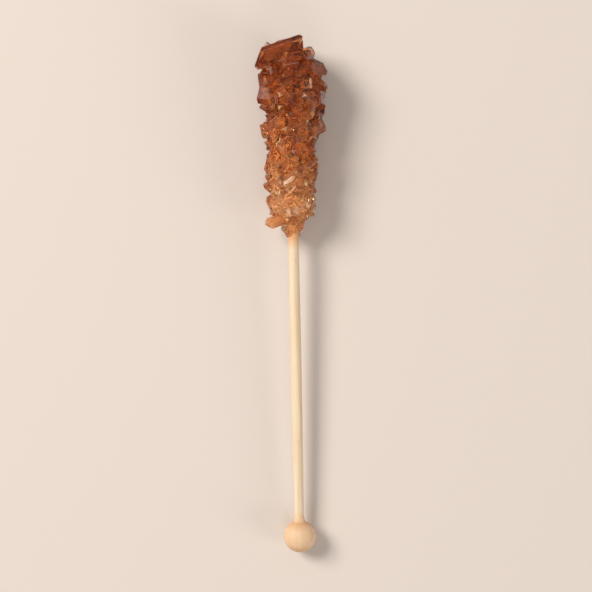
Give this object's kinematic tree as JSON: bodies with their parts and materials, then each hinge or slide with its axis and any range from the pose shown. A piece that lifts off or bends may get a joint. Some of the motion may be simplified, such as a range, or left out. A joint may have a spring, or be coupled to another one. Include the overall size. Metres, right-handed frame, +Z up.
{
  "type": "rock candy stick",
  "caption": "Brown rock sugar crystals grown into one mass on the end of a turned wooden stick with a ball at its other end, lying on its side.",
  "frame": {"origin": "on the surface that the stick lies on, under the centre of its bounding box", "axes": "+Y along the stick, from the ball to the candy's tip; +Z up, out of the side that faces the viewer"},
  "size_m": [0.0212, 0.1506, 0.0197],
  "materials": {
    "birch": "sanded, unvarnished",
    "brown_sugar": "cloudy translucent crystals with bright faces"
  },
  "bodies": {
    "root": {"stick": "birch", "candy": "brown_sugar"}
  },
  "joints": []
}
